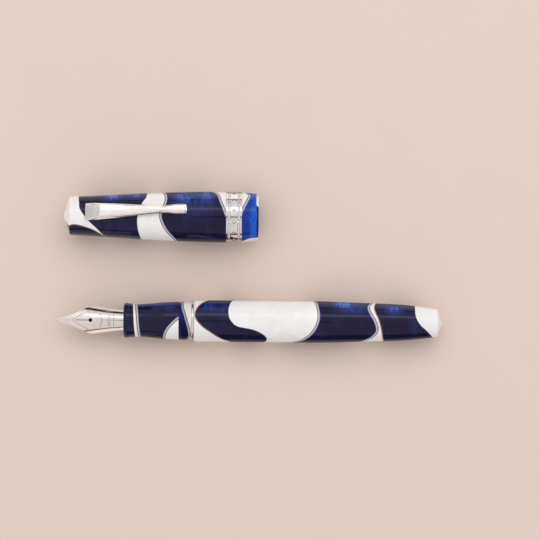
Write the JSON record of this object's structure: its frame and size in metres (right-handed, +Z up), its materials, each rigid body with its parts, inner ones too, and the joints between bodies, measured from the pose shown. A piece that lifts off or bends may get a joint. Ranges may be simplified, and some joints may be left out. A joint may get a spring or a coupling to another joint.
{
  "type": "fountain pen",
  "caption": "Marbled resin fountain pen, uncapped, with its clipped and banded screw cap lying beside it and an ink converter inside.",
  "frame": {"origin": "on the pen's axis, at the middle of the barrel's straight stretch, which is where a pen loop or holder grips it", "axes": "+X along the pen from nib to tail, +Z up through the top of the nib, +Y towards the cap lying beside the pen"},
  "size_m": [0.1307, 0.0508, 0.0192],
  "materials": {
    "resin": "polished marbled resin",
    "chrome": "polished plating",
    "nib_steel": "polished with engraved lines",
    "tipping_alloy": "ground smooth",
    "black_plastic": "satin moulded",
    "steel": "turned",
    "brass": "turned",
    "clear_plastic": "clear moulded",
    "pearl_resin": "pearl",
    "seal_rubber": "soft",
    "liner_plastic": "milky moulded"
  },
  "bodies": {
    "section": {"section_grip": "resin", "section_connector": "steel", "nib_housing": "black_plastic"},
    "nib_unit": {"nib": "nib_steel", "nib_tipping": "tipping_alloy", "feed": "black_plastic"},
    "trim_ring": {"trim_ring": "chrome"},
    "barrel": {"barrel": "resin", "barrel_thread_insert": "brass"},
    "converter": {"converter_tube": "clear_plastic", "converter_plug": "clear_plastic", "converter_collar": "chrome", "rod_guide": "black_plastic"},
    "knob": {"converter_knob": "black_plastic"},
    "piston": {"piston_rod": "black_plastic", "piston_seal": "seal_rubber"},
    "inner_cap": {"cap_liner": "liner_plastic"},
    "cap": {"cap_shell": "resin", "cap_lip": "resin", "cap_band": "chrome", "cap_band_backing": "pearl_resin", "clip_pivot_pin": "steel", "clip_bracket": "brass", "clip_screw": "steel", "clip_spring": "steel"},
    "clip": {"clip": "chrome"}
  },
  "joints": [
    {"name": "cap_slide", "type": "slide", "parent": "section", "child": "inner_cap", "axis": [-0.9435, -0.3312, -0.0146], "range_m": [0, 0.10599]},
    {"name": "cap_turn", "type": "hinge", "parent": "inner_cap", "child": "cap", "pos_m": [-0.0343, 0.0351, 0.00155], "axis": [1, 0, 0], "range_deg": [0, 540]},
    {"name": "clip_lift", "type": "hinge", "parent": "cap", "child": "clip", "pos_m": [-0.0545, 0.03597, 0.00504], "axis": [0, -0.9703, 0.2419], "range_deg": [0, 6], "stiffness_Nm_per_rad": 0.6},
    {"name": "barrel_pull", "type": "slide", "parent": "section", "child": "trim_ring", "axis": [1, 0, 0], "range_m": [0, 0.072]},
    {"name": "barrel_turn", "type": "hinge", "parent": "trim_ring", "child": "barrel", "pos_m": [0, 0, 0], "axis": [1, 0, 0], "range_deg": [0, 1800]},
    {"name": "nib_pull", "type": "slide", "parent": "section", "child": "nib_unit", "axis": [-1, 0, 0], "range_m": [0, 0.018]},
    {"name": "converter_pull", "type": "slide", "parent": "section", "child": "converter", "axis": [1, 0, 0], "range_m": [0, 0.008]},
    {"name": "knob_turn", "type": "hinge", "parent": "converter", "child": "knob", "pos_m": [0.016, 0, 0], "axis": [-1, 0, 0], "range_deg": [0, 2160]},
    {"name": "piston_slide", "type": "slide", "parent": "converter", "child": "piston", "axis": [1, 0, 0], "range_m": [0, 0.018]}
  ],
  "couplings": [
    {"joint": "knob_turn", "follows": "piston_slide", "rad_per_m": 2094.4}
  ]
}
